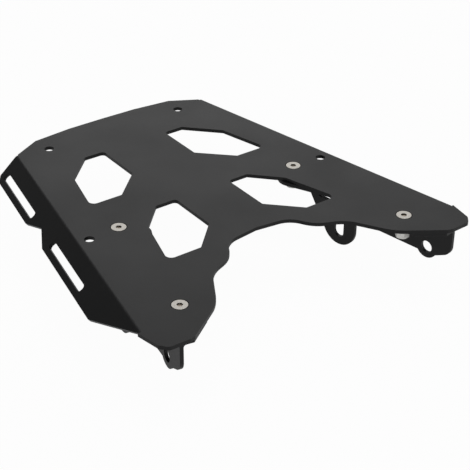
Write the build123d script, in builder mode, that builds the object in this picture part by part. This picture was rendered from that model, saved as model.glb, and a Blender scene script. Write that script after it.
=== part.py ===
from build123d import *
from math import cos, radians, sin, sqrt, tan
import os

# Millimetres. The deck lies at z = 0, its rear faces +Y and the edge by the seat faces -Y.

# deck, right half: the left one is its mirror
sheet = 3.0
rear_mid = (0.0, 165.0)
rear_shoulder = (33.0, 164.6)
rear_corner = (67.8, 161.0)
fold_rear = (93.5, 146.7)
fold_front = (143.5, -120.0)
lobe_overhang = 1.5
lobe_side = (142.1, -143.2)
lobe_front = (137.2, -149.1)
lobe_tip = (120.8, -149.7)
diagonal_front = (116.1, -148.6)
seat_bends = [(82.4, -125.9), (62.3, -92.0), (39.2, -83.2), (29.6, -64.7)]
seat_radii = [40.0, 28.0, 27.0, 19.0]
seat_mid = (0.0, -61.0)
lobe_radius = 4.0

# side flanges, measured rearwards along the fold and down from it
fold_angle = 39.0
fold_radius = 5.0
fold_lap = 7.0
flange_width = 25.0
flange_front_at = -4.0
flange_front_rise = 0.9
flange_front_run = 46.0
notch_at = 168.4
notch_span = 41.0
notch_depth = 8.5
flange_rear_run = 10.5
flange_rear_chamfer = 4.5
flange_rear_lean = 4.0
slot_width = 6.4
slot_rim = 5.0
slot_corner = 2.6
front_slot = (75.9, 144.2)
rear_slot = (188.4, 261.7)

# windows and lashing holes in the deck
rear_window = [(30.5, 111.0), (48.5, 111.0), (74.0, 85.0), (85.0, 40.3), (56.5, 40.3), (30.5, 65.5)]
front_window = [(25.5, 10.0), (44.0, 10.0), (66.0, -13.0), (79.5, -60.0), (50.0, -60.0), (25.5, -35.5)]
window_radii = [3.5, 1.5, 1.5, 5.0, 1.5, 1.5]
lashing_holes = [(65.1, 141.9), (111.1, -2.3)]
lashing_diameter = 8.0

# countersunk screws with a washer and a tall nut
rear_screw = (84.2, 0.0)
front_screw = (104.2, -112.3)
thread = 6.0
head_diameter = 12.0
head_rim = 0.5
screw_length = 18.0
screw_point = 0.6
socket_flats = 4.0
socket_depth = 1.5
hole_play = 0.6
washer_diameter = 12.0
washer_thickness = 1.6
washer_play = 0.4
bracket_play = 1.3
nut_flats = 10.0
nut_height = 11.5
nut_chamfer = 0.5

# brackets, measured rearwards from the front screw, inwards from the line of the screws and down
bracket_sheet = 3.0
bracket_bend = 5.0
web_offset = 16.6
bracket_front = 37.0
bracket_rear_margin = 8.0
flange_inner = 11.9
diagonal_run = 17.5
tip_reach = 23.5
tip_margin = 6.6
tip_flare = 41.5
tip_radius = 12.0
tip_rear_reach = 13.6
plan_corner = 2.0
web_drop = 34.3
web_front_drop = 26.5
web_front_rise = 16.0
web_front_round = 10.0
haunch = (106.0, -27.0)
ear_hole = 10.0
front_ear = (-14.2, -28.9)
front_ear_radius = 9.6
rear_ear = (73.7, -47.9)
rear_ear_radius = 16.5
ear_slot_length = 20.0
ear_slot_rim = 7.3
web_window_front = 25.0
web_window_rear = 96.0
web_window_top = 13.0
web_window_bottom = 27.4
web_window_slant = 10.5
web_window_corner = 3.0

# frame of the right fold line: along it, outwards from it and down its flange
fold_line = Vector(*fold_rear) - Vector(*fold_front)
fold_length = fold_line.length
fold_along = fold_line.normalized()
fold_out = fold_along.cross(Vector(0, 0, 1))
flange_down = fold_out * cos(radians(fold_angle)) - Vector(0, 0, 1) * sin(radians(fold_angle))
fold_tangent = fold_radius * tan(radians(fold_angle / 2))

# frame of the right line of the screws
screw_line = Vector(*rear_screw) - Vector(*front_screw)
screw_pitch = screw_line.length
screw_along = screw_line.normalized()
screw_out = screw_along.cross(Vector(0, 0, 1))
bracket_rear = screw_pitch + bracket_rear_margin
bracket_base = sheet + bracket_sheet


def corner(sketch, point):
    """The sketch's vertex that lies nearest to a point."""
    return sketch.vertices().sort_by_distance((*point, 0))[0]


def mirrored(point):
    return (-point[0], point[1])


def on_fold(run, inward):
    """A point of the deck beside the right fold line."""
    spot = Vector(*fold_front) + fold_along * run - fold_out * inward
    return (spot.X, spot.Y)


def side_flange():
    """The right side flange with its bend and a strip that laps the deck."""
    edge = (flange_width * cos(radians(fold_angle)), -flange_width * sin(radians(fold_angle)))
    under = (edge[0] - sheet * sin(radians(fold_angle)), edge[1] - sheet * cos(radians(fold_angle)))
    inner = (-sheet * tan(radians(fold_angle / 2)), -sheet)
    slot_centre = flange_width - slot_rim - slot_width / 2
    start = Vector(*fold_front) + fold_along * 2 * flange_front_at
    with BuildPart() as flange:
        with BuildSketch(Plane(start, x_dir=fold_out, z_dir=-fold_along)) as section:
            with BuildLine():
                Polyline((-fold_lap, 0), (0, 0), edge, under, inner, (-fold_lap, -sheet), close=True)
            make_face()
            fillet(corner(section, (0, 0)), fold_radius)
            fillet(corner(section, inner), fold_radius - sheet)
        extrude(amount=-fold_length - flange_rear_run)
        with BuildSketch(Plane(Vector(*fold_front), x_dir=fold_along, z_dir=fold_along.cross(flange_down))):
            with BuildLine():
                Polyline(
                    (flange_front_at, -fold_lap),
                    (flange_front_at, flange_front_rise),
                    (flange_front_run, flange_width),
                    (notch_at - notch_span / 2, flange_width),
                    (notch_at, flange_width - notch_depth),
                    (notch_at + notch_span / 2, flange_width),
                    (fold_length - flange_rear_run, flange_width),
                    (fold_length - flange_rear_lean, flange_width - flange_rear_chamfer),
                    (fold_length, 0),
                    (fold_length, -fold_lap),
                    close=True,
                )
            make_face()
            for first, last in (front_slot, rear_slot):
                with Locations(((first + last) / 2, slot_centre)):
                    RectangleRounded(last - first, slot_width, slot_corner, mode=Mode.SUBTRACT)
        extrude(amount=flange_width, both=True, mode=Mode.INTERSECT)
    return flange.part


def deck_outline():
    """Half of the deck's outline, from the rear's middle round the right side to the seat's."""
    share = fold_tangent / (Vector(*fold_rear) - Vector(*rear_corner)).dot(fold_out)
    rear_end = Vector(*fold_rear) + (Vector(*rear_corner) - Vector(*fold_rear)) * share
    front_end = on_fold(flange_front_at, fold_tangent)
    lobe_rear = on_fold(flange_front_at, -lobe_overhang)
    side = [(rear_end.X, rear_end.Y), front_end, lobe_rear, lobe_side, lobe_front, lobe_tip]
    return [rear_mid, rear_shoulder, rear_corner] + side + [diagonal_front] + seat_bends + [seat_mid]


def make_plate():
    """The folded plate: deck, two side flanges, four windows, lashing holes and screw holes."""
    half = deck_outline()
    with BuildPart() as plate:
        with BuildSketch() as deck:
            with BuildLine():
                Polyline(*half, *[mirrored(p) for p in half[-2:0:-1]], close=True)
            make_face()
            for point in [lobe_side, lobe_front, lobe_tip, diagonal_front]:
                fillet(corner(deck, point), lobe_radius)
                fillet(corner(deck, mirrored(point)), lobe_radius)
            for point, radius in zip(seat_bends, seat_radii):
                fillet(corner(deck, point), radius)
                fillet(corner(deck, mirrored(point)), radius)
        extrude(amount=-sheet)
        right = side_flange()
        add(right)
        add(mirror(right, about=Plane.YZ))
        for window in (rear_window, front_window):
            for outline in (window, [mirrored(p) for p in window]):
                with BuildSketch() as opening:
                    with BuildLine():
                        Polyline(*outline, close=True)
                    make_face()
                    for point, radius in zip(outline, window_radii):
                        fillet(corner(opening, point), radius)
                extrude(amount=-sheet, mode=Mode.SUBTRACT)
        with Locations(*lashing_holes, *[mirrored(p) for p in lashing_holes]):
            Hole(lashing_diameter / 2, depth=sheet)
        with Locations(rear_screw, front_screw, mirrored(rear_screw), mirrored(front_screw)):
            CounterSinkHole((thread + hole_play) / 2, head_diameter / 2 + head_rim, depth=sheet, counter_sink_angle=90)
    return plate.part


def bracket_plan():
    """The bracket's outline from above: its flange and, beyond the bend, the top of its web."""
    tip = (screw_pitch - tip_margin, tip_reach)
    front_corner = (diagonal_run - bracket_front, flange_inner)
    with BuildSketch(Plane(Vector(*front_screw), x_dir=screw_along, z_dir=(0, 0, 1))) as plan:
        with BuildLine():
            Polyline(
                (-bracket_front, -web_offset - bracket_sheet),
                (-bracket_front, flange_inner - diagonal_run),
                front_corner,
                (tip[0] - tip_flare, flange_inner),
                tip,
                (bracket_rear, tip_rear_reach),
                (bracket_rear, -web_offset - bracket_sheet),
                close=True,
            )
        make_face()
        fillet(corner(plan, tip), tip_radius)
        for point in (front_corner, (bracket_rear, tip_rear_reach)):
            fillet(corner(plan, point), plan_corner)
        with Locations((0, 0), (screw_pitch, 0)):
            Circle((thread + bracket_play) / 2, mode=Mode.SUBTRACT)
    return plan.sketch


def bracket_side():
    """The bracket's outline from inside: the web, its two ears and what is cut out of them."""
    low_front = (-bracket_front, -web_front_drop)
    slot_top = rear_ear[1] - rear_ear_radius + ear_slot_rim + ear_slot_length
    with BuildSketch(Plane(Vector(*front_screw), x_dir=screw_along, z_dir=screw_out)) as side:
        with BuildLine():
            Polyline(
                (-bracket_front, 0),
                (bracket_rear, 0),
                (bracket_rear, -sheet - bracket_bend),
                haunch,
                (haunch[0] - web_front_rise / 2, -web_drop),
                (web_front_rise - bracket_front, -web_drop),
                low_front,
                close=True,
            )
        make_face()
        fillet(corner(side, low_front), web_front_round)
        with Locations(front_ear):
            Circle(front_ear_radius)
        with BuildLine() as rear_lug:
            CenterArc(rear_ear, rear_ear_radius, 0, 360)
            Line((rear_ear[0] - rear_ear_radius, haunch[1]), haunch)
        make_hull(rear_lug.edges())
        with Locations(front_ear):
            Circle(ear_hole / 2, mode=Mode.SUBTRACT)
        with Locations((rear_ear[0], slot_top - ear_slot_length / 2)):
            SlotOverall(ear_slot_length, ear_hole, rotation=90, mode=Mode.SUBTRACT)
        outline = [
            (web_window_front, -web_window_bottom),
            (web_window_rear, -web_window_bottom),
            (web_window_rear + web_window_slant, -web_window_top),
            (web_window_front - web_window_slant, -web_window_top),
        ]
        with BuildLine():
            Polyline(*outline, close=True)
        make_face(mode=Mode.SUBTRACT)
        for point in outline:
            fillet(corner(side, point), web_window_corner)
    return side.sketch


def make_bracket():
    """The right bracket: a bent angle, cut to its outline from above and from the side."""
    depth = rear_ear_radius - rear_ear[1]
    end = Vector(*front_screw) + screw_along * bracket_rear
    inner = web_offset - bracket_sheet
    with BuildPart() as bracket:
        with BuildSketch(Plane(end, x_dir=screw_out, z_dir=-screw_along)) as section:
            with BuildLine():
                Polyline(
                    (-tip_reach, -sheet),
                    (web_offset, -sheet),
                    (web_offset, -depth),
                    (inner, -depth),
                    (inner, -bracket_base),
                    (-tip_reach, -bracket_base),
                    close=True,
                )
            make_face()
            fillet(corner(section, (web_offset, -sheet)), bracket_bend)
            fillet(corner(section, (inner, -bracket_base)), bracket_bend - bracket_sheet)
        extrude(amount=bracket_rear + bracket_front)
        extrude(bracket_plan(), amount=depth, both=True, mode=Mode.INTERSECT)
        extrude(bracket_side(), amount=depth, both=True, mode=Mode.INTERSECT)
    return bracket.part


def make_screw():
    """A countersunk socket screw on the Z axis, its head level with the deck."""
    head = (head_diameter - thread) / 2
    with BuildPart() as screw:
        with BuildSketch(Plane.XZ):
            with BuildLine():
                Polyline(
                    (0, 0),
                    (head_diameter / 2, 0),
                    (head_diameter / 2, -head_rim),
                    (thread / 2, -head_rim - head),
                    (thread / 2, screw_point - screw_length),
                    (thread / 2 - screw_point, -screw_length),
                    (0, -screw_length),
                    close=True,
                )
            make_face()
        revolve(axis=Axis.Z)
        with BuildSketch(Plane.XY):
            RegularPolygon(socket_flats / 2, 6, major_radius=False, rotation=30)
        extrude(amount=-socket_depth, mode=Mode.SUBTRACT)
    return screw.part


def make_washer():
    with BuildPart() as washer:
        with BuildSketch(Plane.XY.offset(-bracket_base)):
            Circle(washer_diameter / 2)
            Circle((thread + washer_play) / 2, mode=Mode.SUBTRACT)
        extrude(amount=-washer_thickness)
    return washer.part


def make_nut():
    """A tall hexagon nut with both rims of its corners turned off."""
    top = bracket_base + washer_thickness
    with BuildPart() as nut:
        with BuildSketch(Plane.XY.offset(-top)):
            Circle(nut_flats / sqrt(3))
        extrude(amount=-nut_height)
        chamfer(nut.edges().filter_by(GeomType.CIRCLE), nut_chamfer, nut_chamfer / tan(radians(30)))
        with BuildSketch(Plane.XY.offset(-top)):
            RegularPolygon(nut_flats / 2, 6, major_radius=False)
        extrude(amount=-nut_height, mode=Mode.INTERSECT)
        with BuildSketch(Plane.XY.offset(-top)):
            Circle(thread / 2)
        extrude(amount=-nut_height, mode=Mode.SUBTRACT)
    return nut.part


def name_and_save(part, label):
    part.label = label
    export_step(part, f"parts/{label}.step")


os.makedirs("parts", exist_ok=True)
name_and_save(make_plate(), "rack_plate")
bracket_right = make_bracket()
name_and_save(bracket_right, "bracket_right")
name_and_save(mirror(bracket_right, about=Plane.YZ), "bracket_left")
fasteners = {"screw": make_screw(), "washer": make_washer(), "nut": make_nut()}
for place, spot in {"front": front_screw, "rear": rear_screw}.items():
    for hand, (x, y) in {"right": spot, "left": mirrored(spot)}.items():
        for kind, piece in fasteners.items():
            name_and_save(Pos(x, y, 0) * piece, f"{kind}_{place}_{hand}")
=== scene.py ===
import math

import bpy
from mathutils import Matrix, Vector


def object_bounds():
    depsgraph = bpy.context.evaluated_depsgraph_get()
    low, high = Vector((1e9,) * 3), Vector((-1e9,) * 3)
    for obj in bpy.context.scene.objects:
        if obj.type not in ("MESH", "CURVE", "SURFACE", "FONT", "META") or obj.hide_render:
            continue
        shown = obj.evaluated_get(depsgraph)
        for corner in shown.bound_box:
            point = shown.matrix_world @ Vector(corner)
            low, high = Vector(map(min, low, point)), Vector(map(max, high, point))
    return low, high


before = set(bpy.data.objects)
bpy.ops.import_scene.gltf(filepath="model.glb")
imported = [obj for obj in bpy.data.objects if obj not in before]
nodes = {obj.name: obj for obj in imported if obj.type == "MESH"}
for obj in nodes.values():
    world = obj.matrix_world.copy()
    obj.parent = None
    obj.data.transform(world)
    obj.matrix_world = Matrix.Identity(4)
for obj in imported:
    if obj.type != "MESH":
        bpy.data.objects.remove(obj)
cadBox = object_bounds()
print("rack: frame loaded with", len(nodes), "nodes")

sides = ("left", "right")
places = ("front", "rear")


# camera
photoCamera = {
    "place": (-0.50402, -0.72002, 0.50416),
    "turn": -36.315,  # degrees about Z, from looking along +Y
    "tilt": 31.638,  # degrees below the horizon
    "roll": 0.41,
    "lens": 98.11,
    "sensor": 36.0,
    "clip": (0.05, 30.0),
}


def makeCamera(look):
    data = bpy.data.cameras.new("photoCamera")
    data.lens = look["lens"]
    data.sensor_width = look["sensor"]
    data.clip_start, data.clip_end = look["clip"]
    camera = bpy.data.objects.new("photoCamera", data)
    bpy.context.scene.collection.objects.link(camera)
    aim = Matrix.Rotation(math.radians(look["turn"]), 4, "Z")
    aim @= Matrix.Rotation(math.radians(90 - look["tilt"]), 4, "X")
    aim @= Matrix.Rotation(math.radians(look["roll"]), 4, "Z")
    camera.matrix_world = Matrix.Translation(look["place"]) @ aim
    bpy.context.scene.camera = camera
    return camera


makeCamera(photoCamera)
print("rack: camera placed")


# node helpers
def newGroup(name, inputs, outputs):
    group = bpy.data.node_groups.new(name, "ShaderNodeTree")
    for label, kind, value in inputs:
        socket = group.interface.new_socket(name=label, in_out="INPUT", socket_type=kind)
        socket.default_value = value
    for label, kind in outputs:
        group.interface.new_socket(name=label, in_out="OUTPUT", socket_type=kind)
    start = group.nodes.new("NodeGroupInput")
    end = group.nodes.new("NodeGroupOutput")
    start.location = (-900, 0)
    end.location = (900, 0)
    return group, start, end


def addNode(tree, kind, place, **settings):
    node = tree.nodes.new(kind)
    node.location = place
    for key, value in settings.items():
        setattr(node, key, value)
    return node


def addMath(tree, operation, first, second, place):
    node = addNode(tree, "ShaderNodeMath", place, operation=operation)
    for slot, value in enumerate((first, second)):
        if isinstance(value, (int, float)):
            node.inputs[slot].default_value = value
        elif value is not None:
            tree.links.new(value, node.inputs[slot])
    return node.outputs[0]


def addRange(tree, value, low, high, outLow, outHigh, place):
    node = addNode(tree, "ShaderNodeMapRange", place)
    tree.links.new(value, node.inputs["Value"])
    for label, number in (("From Min", low), ("From Max", high), ("To Min", outLow), ("To Max", outHigh)):
        if isinstance(number, (int, float)):
            node.inputs[label].default_value = number
        else:
            tree.links.new(number, node.inputs[label])
    return node.outputs["Result"]


def addNoise(tree, vector, scale, detail, place):
    node = addNode(tree, "ShaderNodeTexNoise", place)
    tree.links.new(vector, node.inputs["Vector"])
    if isinstance(scale, (int, float)):
        node.inputs["Scale"].default_value = scale
    else:
        tree.links.new(scale, node.inputs["Scale"])
    node.inputs["Detail"].default_value = detail
    return node.outputs["Fac"]


def newMaterial(name):
    material = bpy.data.materials.new(name)
    material.use_nodes = True
    return material, material.node_tree, material.node_tree.nodes["Principled BSDF"]


# shared effects
grainShape = {
    "pebbleDetail": 2.0,
    "waveDetail": 3.0,
    "waveShare": 0.8,
    "toneSize": 14.0,
    "toneDetail": 4.0,
    "toneSpan": (0.1, 0.45),  # where the coat goes from its dark to its light colour
    "roughSpan": (0.3, 0.7),
    "height": 0.0001,
}


def makeCoatGrain(shape):
    # baked powder: a fine pebble, slow waves from the spray and a faint change of tone
    group, start, end = newGroup(
        "coatGrain",
        [
            ("Color", "NodeSocketColor", (0.01, 0.01, 0.01, 1)),
            ("Light Color", "NodeSocketColor", (0.02, 0.02, 0.02, 1)),
            ("Pebble Size", "NodeSocketFloat", 1500.0),
            ("Wave Size", "NodeSocketFloat", 60.0),
            ("Depth", "NodeSocketFloat", 0.2),
            ("Roughness Low", "NodeSocketFloat", 0.4),
            ("Roughness High", "NodeSocketFloat", 0.5),
        ],
        [("Color", "NodeSocketColor"), ("Roughness", "NodeSocketFloat"), ("Normal", "NodeSocketVector")],
    )
    where = addNode(group, "ShaderNodeTexCoord", (-900, -300)).outputs["Object"]
    pebble = addNoise(group, where, start.outputs["Pebble Size"], shape["pebbleDetail"], (-600, 100))
    wave = addNoise(group, where, start.outputs["Wave Size"], shape["waveDetail"], (-600, -150))
    tone = addNoise(group, where, shape["toneSize"], shape["toneDetail"], (-600, -400))
    blend = addNode(group, "ShaderNodeMix", (200, 300), data_type="RGBA")
    cloud = addMath(group, "MULTIPLY", tone, pebble, (-300, 300))
    share = addRange(group, cloud, *shape["toneSpan"], 0.0, 1.0, (-50, 300))
    group.links.new(share, blend.inputs["Factor"])
    group.links.new(start.outputs["Color"], blend.inputs["A"])
    group.links.new(start.outputs["Light Color"], blend.inputs["B"])
    finish = (start.outputs["Roughness Low"], start.outputs["Roughness High"])
    rough = addRange(group, tone, *shape["roughSpan"], *finish, (200, 0))
    swell = addMath(group, "MULTIPLY", wave, shape["waveShare"], (-300, -150))
    height = addMath(group, "ADD", pebble, swell, (-50, -100))
    bump = addNode(group, "ShaderNodeBump", (450, -200))
    bump.inputs["Distance"].default_value = shape["height"]
    group.links.new(start.outputs["Depth"], bump.inputs["Strength"])
    group.links.new(height, bump.inputs["Height"])
    group.links.new(blend.outputs["Result"], end.inputs["Color"])
    group.links.new(rough, end.inputs["Roughness"])
    group.links.new(bump.outputs["Normal"], end.inputs["Normal"])
    return group


markShape = {
    "stretch": (1.0, 1.0, 12.0),
    "speckSize": 900.0,
    "speckDetail": 3.0,
    "speckSpan": (0.45, 0.7),
    "ringSize": 700.0,
    "ringDetail": 2.0,
    "roughSpan": (0.3, 0.7),
    "height": 0.00005,
}


def makeTurningMarks(shape):
    # fine marks squeezed along the part's own axis, with specks where it was handled
    group, start, end = newGroup(
        "turningMarks",
        [
            ("Color", "NodeSocketColor", (0.6, 0.6, 0.6, 1)),
            ("Stain Color", "NodeSocketColor", (0.4, 0.38, 0.35, 1)),
            ("Stain", "NodeSocketFloat", 0.3),
            ("Ring Depth", "NodeSocketFloat", 0.2),
            ("Roughness Low", "NodeSocketFloat", 0.2),
            ("Roughness High", "NodeSocketFloat", 0.35),
        ],
        [("Color", "NodeSocketColor"), ("Roughness", "NodeSocketFloat"), ("Normal", "NodeSocketVector")],
    )
    where = addNode(group, "ShaderNodeTexCoord", (-900, -300)).outputs["Object"]
    stretched = addNode(group, "ShaderNodeMapping", (-700, -300))
    stretched.inputs["Scale"].default_value = shape["stretch"]
    group.links.new(where, stretched.inputs["Vector"])
    speck = addNoise(group, where, shape["speckSize"], shape["speckDetail"], (-450, 150))
    ring = addNoise(group, stretched.outputs["Vector"], shape["ringSize"], shape["ringDetail"], (-450, -150))
    spots = addRange(group, speck, *shape["speckSpan"], 0.0, 1.0, (-200, 150))
    mask = addMath(group, "MULTIPLY", spots, start.outputs["Stain"], (50, 150))
    blend = addNode(group, "ShaderNodeMix", (300, 300), data_type="RGBA")
    group.links.new(mask, blend.inputs["Factor"])
    group.links.new(start.outputs["Color"], blend.inputs["A"])
    group.links.new(start.outputs["Stain Color"], blend.inputs["B"])
    finish = (start.outputs["Roughness Low"], start.outputs["Roughness High"])
    rough = addRange(group, ring, *shape["roughSpan"], *finish, (300, 0))
    bump = addNode(group, "ShaderNodeBump", (450, -200))
    bump.inputs["Distance"].default_value = shape["height"]
    group.links.new(start.outputs["Ring Depth"], bump.inputs["Strength"])
    group.links.new(ring, bump.inputs["Height"])
    group.links.new(blend.outputs["Result"], end.inputs["Color"])
    group.links.new(rough, end.inputs["Roughness"])
    group.links.new(bump.outputs["Normal"], end.inputs["Normal"])
    return group


coatGrain = makeCoatGrain(grainShape)
turningMarks = makeTurningMarks(markShape)
print("rack: shared effects made")


def makeFinish(name, effect, values, metallic, specular):
    material, tree, shader = newMaterial(name)
    grain = addNode(tree, "ShaderNodeGroup", (-400, 200), node_tree=effect)
    for label, value in values.items():
        grain.inputs[label].default_value = value
    tree.links.new(grain.outputs["Color"], shader.inputs["Base Color"])
    tree.links.new(grain.outputs["Roughness"], shader.inputs["Roughness"])
    tree.links.new(grain.outputs["Normal"], shader.inputs["Normal"])
    shader.inputs["Metallic"].default_value = metallic
    shader.inputs["Specular IOR Level"].default_value = specular
    return material


# rack plate and brackets
plateLook = {
    "color": (0.0075, 0.0076, 0.0080, 1),
    "lightColor": (0.0115, 0.0116, 0.0120, 1),
    "pebbleSize": 1700.0,
    "waveSize": 70.0,
    "depth": 0.25,
    "roughness": (0.36, 0.44),
    "specular": 0.3,
    "edgeRound": 0.00035,
}
bracketLook = {
    "color": (0.0070, 0.0070, 0.0074, 1),
    "lightColor": (0.0105, 0.0105, 0.0110, 1),
    "pebbleSize": 1700.0,
    "waveSize": 80.0,
    "depth": 0.3,
    "roughness": (0.34, 0.42),
    "specular": 0.3,
    "edgeRound": 0.00030,
}
edgeShape = {
    "join": 1e-6,
    "flatWithin": 0.3,  # degrees
    "edgeFrom": 32.0,  # degrees between faces that meet at an edge
    "steps": 2,
    "faceWeight": 100,
}


def makeCoat(name, look):
    return makeFinish(
        name,
        coatGrain,
        {
            "Color": look["color"],
            "Light Color": look["lightColor"],
            "Pebble Size": look["pebbleSize"],
            "Wave Size": look["waveSize"],
            "Depth": look["depth"],
            "Roughness Low": look["roughness"][0],
            "Roughness High": look["roughness"][1],
        },
        metallic=0.0,
        specular=look["specular"],
    )


def roundEdges(piece, width, shape):
    # powder is round on every cut edge, and the steel's edges are broken
    weld = piece.modifiers.new("joinCorners", "WELD")
    weld.merge_threshold = shape["join"]
    flat = piece.modifiers.new("openFaces", "DECIMATE")
    flat.decimate_type = "DISSOLVE"
    flat.angle_limit = math.radians(shape["flatWithin"])
    bevel = piece.modifiers.new("roundEdges", "BEVEL")
    bevel.width = width
    bevel.segments = shape["steps"]
    bevel.limit_method = "ANGLE"
    bevel.angle_limit = math.radians(shape["edgeFrom"])
    bevel.use_clamp_overlap = True
    bevel.harden_normals = False
    smooth = piece.modifiers.new("evenNormals", "WEIGHTED_NORMAL")
    smooth.weight = shape["faceWeight"]
    smooth.keep_sharp = False


def dress(piece, material):
    piece.data.materials.clear()
    piece.data.materials.append(material)


plateCoat = makeCoat("plateCoat", plateLook)
bracketCoat = makeCoat("bracketCoat", bracketLook)
dress(nodes["rack_plate"], plateCoat)
roundEdges(nodes["rack_plate"], plateLook["edgeRound"], edgeShape)
for side in sides:
    dress(nodes[f"bracket_{side}"], bracketCoat)
    roundEdges(nodes[f"bracket_{side}"], bracketLook["edgeRound"], edgeShape)
print("rack: plate and brackets coated")


# screws, washers and nuts
screwLook = {
    "color": (0.505, 0.482, 0.443, 1),
    "stain": (0.28, 0.26, 0.23, 1),
    # the next three colours are painted light: shade on the socket walls and head rim, a highlight on the
    # socket floor, shade in the countersink gap
    "wallShadeColor": (0.055, 0.045, 0.035, 1),
    "floorColor": (0.74, 0.64, 0.52, 1),
    "gapShadeColor": (0.002, 0.002, 0.002, 1),
    "paintedLightRoughness": 0.8,
    "paintedLightSpecular": 0.1,
    # reaches from the screw's axis and depths below its top, in metres
    "gapReach": 0.0066,
    "gapTop": 0.00005,
    "socketReach": 0.0026,
    "socketTop": 0.0001,
    "socketDepth": 0.0017,
    "rimReach": 0.0055,  # the rim's faces lie farther off than this
    "rimDepth": 0.0006,
    "uprightLimit": 0.3,  # a wall's normal rises less than this
    "stainShare": 0.35,
    "ringDepth": 0.25,
    "roughness": (0.26, 0.36),
    "edgeRound": 0.00022,
}
washerLook = {
    "color": (0.57, 0.565, 0.55, 1),
    "stain": (0.30, 0.29, 0.28, 1),
    "stainShare": 0.3,
    "ringDepth": 0.3,
    "roughness": (0.28, 0.40),
    "edgeRound": 0.00015,
}
nutLook = {
    "color": (0.80, 0.795, 0.765, 1),
    "stain": (0.50, 0.49, 0.46, 1),
    "stainShare": 0.5,
    "ringDepth": 0.2,
    "roughness": (0.26, 0.38),
    "edgeRound": 0.00018,
}


def makeSteel(name, look):
    return makeFinish(
        name,
        turningMarks,
        {
            "Color": look["color"],
            "Stain Color": look["stain"],
            "Stain": look["stainShare"],
            "Ring Depth": look["ringDepth"],
            "Roughness Low": look["roughness"][0],
            "Roughness High": look["roughness"][1],
        },
        metallic=1.0,
        specular=0.5,
    )


# a plain colour that stands in for light or shade: painted shade and painted highlights round the screws
def makePaintedLight(name, color, look):
    material, _, shader = newMaterial(name)
    shader.inputs["Base Color"].default_value = color
    shader.inputs["Roughness"].default_value = look["paintedLightRoughness"]
    shader.inputs["Specular IOR Level"].default_value = look["paintedLightSpecular"]
    return material


def shadeScrewSocket(screw, paintedLight, look):
    # painted shade darkens the socket's walls and the head's rim, and a painted highlight lights the
    # socket's floor in pale brown
    for material in paintedLight:
        screw.data.materials.append(material)
    corners = [vertex.co for vertex in screw.data.vertices]
    low = Vector(min(corner[axis] for corner in corners) for axis in range(3))
    high = Vector(max(corner[axis] for corner in corners) for axis in range(3))
    middle = (low + high) / 2
    for face in screw.data.polygons:
        away = math.hypot(face.center.x - middle.x, face.center.y - middle.y)
        below = high.z - face.center.z
        upright = abs(face.normal.z) < look["uprightLimit"]
        inSocket = away < look["socketReach"] and look["socketTop"] < below < look["socketDepth"]
        onRim = away > look["rimReach"] and below < look["rimDepth"]
        if upright and (inSocket or onRim):
            face.material_index = 1
        elif inSocket:
            face.material_index = 2
    return screw.matrix_world @ Vector((middle.x, middle.y, high.z))


def shadeSinks(plate, tops, paintedLight, look):
    # painted shade: the plate's faces in the gap round each head are coloured near black
    plate.data.materials.append(paintedLight)
    for face in plate.data.polygons:
        spot = plate.matrix_world @ face.center
        for top in tops:
            near = math.hypot(spot.x - top.x, spot.y - top.y) < look["gapReach"]
            if near and top.z - spot.z > look["gapTop"]:
                face.material_index = 1


headTops = []
# painted shade for the socket walls and head rim, painted highlight for the socket floor
socketPaintedLight = (
    makePaintedLight("socketWallShade", screwLook["wallShadeColor"], screwLook),
    # painted highlight: the socket's floor in pale brown, lighter than its shade leaves it
    makePaintedLight("socketFloorHighlight", screwLook["floorColor"], screwLook),
)
for kind, look in (("screw", screwLook), ("washer", washerLook), ("nut", nutLook)):
    steel = makeSteel(f"{kind}Steel", look)
    for place in places:
        for side in sides:
            piece = nodes[f"{kind}_{place}_{side}"]
            dress(piece, steel)
            if kind == "screw":
                headTops.append(shadeScrewSocket(piece, socketPaintedLight, look))
            roundEdges(piece, look["edgeRound"], edgeShape)
# painted shade in the countersink gap round each head
sinkShade = makePaintedLight("sinkShade", screwLook["gapShadeColor"], screwLook)
shadeSinks(nodes["rack_plate"], headTops, sinkShade, screwLook)
print("rack: screws, washers and nuts finished")


# floor, world and lamps
studioLook = {
    "floorReach": 6.0,
    "floorGap": 0.0004,  # between the lowest ear and the floor
    "floorColor": (0.86, 0.86, 0.86, 1),
    "floorRoughness": 0.9,
    "floorSpecular": 0.1,
    "floorGlow": 0.97,  # share of the floor that the camera sees as plain white
    "floorMirrored": 0.4,  # how much of that white reaches the reflections
    "worldColor": (1.0, 1.0, 1.0, 1),
    "worldLevel": 0.14,
    "worldMirrored": 0.05,  # how much of the white above the horizon reaches the reflections
    "backdropLevel": 1.0,
    "lamps": [
        # name, place, aim, width, height, watts
        ("rearBox", (0.95, 1.30, 0.98), (0.05, 0.05, 0.0), 1.5, 1.3, 6.0),
        ("topBox", (-0.10, -0.30, 1.70), (0.0, 0.0, 0.0), 1.2, 1.2, 7.5),
        ("frontBox", (-0.70, -1.70, 0.60), (0.0, 0.0, -0.03), 1.0, 0.8, 1.6),
        ("sideBox", (1.25, -1.25, 0.75), (0.0, 0.0, -0.02), 1.4, 1.1, 4.5),
    ],
}


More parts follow.
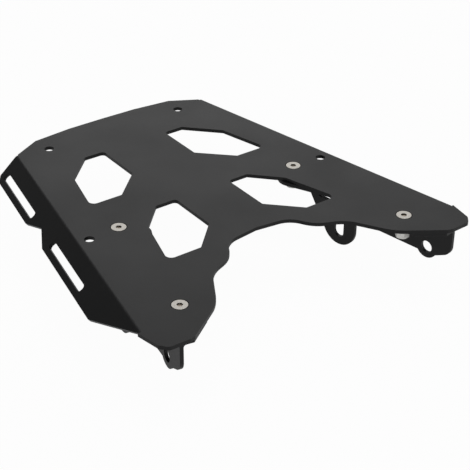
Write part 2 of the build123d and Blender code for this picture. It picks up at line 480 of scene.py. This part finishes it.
def makeFloor(look, level):
    mesh = bpy.data.meshes.new("floor")
    reach = look["floorReach"]
    mesh.from_pydata(
        [(-reach, -reach, level), (reach, -reach, level), (reach, reach, level), (-reach, reach, level)],
        [],
        [(0, 1, 2, 3)],
    )
    floor = bpy.data.objects.new("floor", mesh)
    bpy.context.scene.collection.objects.link(floor)
    material, tree, shader = newMaterial("floorPaper")
    shader.inputs["Base Color"].default_value = look["floorColor"]
    shader.inputs["Roughness"].default_value = look["floorRoughness"]
    shader.inputs["Specular IOR Level"].default_value = look["floorSpecular"]
    glow = addNode(tree, "ShaderNodeEmission", (0, -300))
    path = addNode(tree, "ShaderNodeLightPath", (-600, 200))
    mirrored = addMath(tree, "MULTIPLY", path.outputs["Is Glossy Ray"], look["floorMirrored"], (-500, 0))
    seen = addMath(tree, "ADD", path.outputs["Is Camera Ray"], mirrored, (-400, 200))
    seen = addMath(tree, "ADD", seen, path.outputs["Is Transmission Ray"], (-200, 200))
    share = addMath(tree, "MULTIPLY", seen, look["floorGlow"], (0, 200))
    mix = addNode(tree, "ShaderNodeMixShader", (350, 0))
    tree.links.new(share, mix.inputs["Fac"])
    tree.links.new(shader.outputs["BSDF"], mix.inputs[1])
    tree.links.new(glow.outputs["Emission"], mix.inputs[2])
    tree.links.new(mix.outputs["Shader"], tree.nodes["Material Output"].inputs["Surface"])
    mesh.materials.append(material)


def makeWorld(look):
    world = bpy.data.worlds.new("studio")
    world.use_nodes = True
    bpy.context.scene.world = world
    tree = world.node_tree
    room = tree.nodes["Background"]
    room.inputs["Color"].default_value = look["worldColor"]
    room.inputs["Strength"].default_value = look["worldLevel"]
    white = addNode(tree, "ShaderNodeBackground", (0, -200))
    white.inputs["Color"].default_value = look["worldColor"]
    white.inputs["Strength"].default_value = look["backdropLevel"]
    path = addNode(tree, "ShaderNodeLightPath", (-300, 300))
    mirrored = addMath(tree, "MULTIPLY", path.outputs["Is Glossy Ray"], look["worldMirrored"], (-100, 100))
    seen = addMath(tree, "ADD", path.outputs["Is Camera Ray"], mirrored, (50, 300))
    seen = addMath(tree, "ADD", seen, path.outputs["Is Transmission Ray"], (200, 300))
    mix = addNode(tree, "ShaderNodeMixShader", (400, 0))
    tree.links.new(seen, mix.inputs["Fac"])
    tree.links.new(room.outputs["Background"], mix.inputs[1])
    tree.links.new(white.outputs["Background"], mix.inputs[2])
    tree.links.new(mix.outputs["Shader"], tree.nodes["World Output"].inputs["Surface"])


def makeLamps(look):
    for name, place, aim, width, height, watts in look["lamps"]:
        data = bpy.data.lights.new(name, "AREA")
        data.shape = "RECTANGLE"
        data.size = width
        data.size_y = height
        data.energy = watts
        lamp = bpy.data.objects.new(name, data)
        lamp.visible_camera = False
        bpy.context.scene.collection.objects.link(lamp)
        lamp.location = place
        lamp.rotation_mode = "QUATERNION"
        lamp.rotation_quaternion = (Vector(aim) - Vector(place)).to_track_quat("-Z", "Y")


makeFloor(studioLook, cadBox[0].z - studioLook["floorGap"])
makeWorld(studioLook)
makeLamps(studioLook)
bpy.context.scene.view_settings.view_transform = "Standard"
print("rack: studio lit")
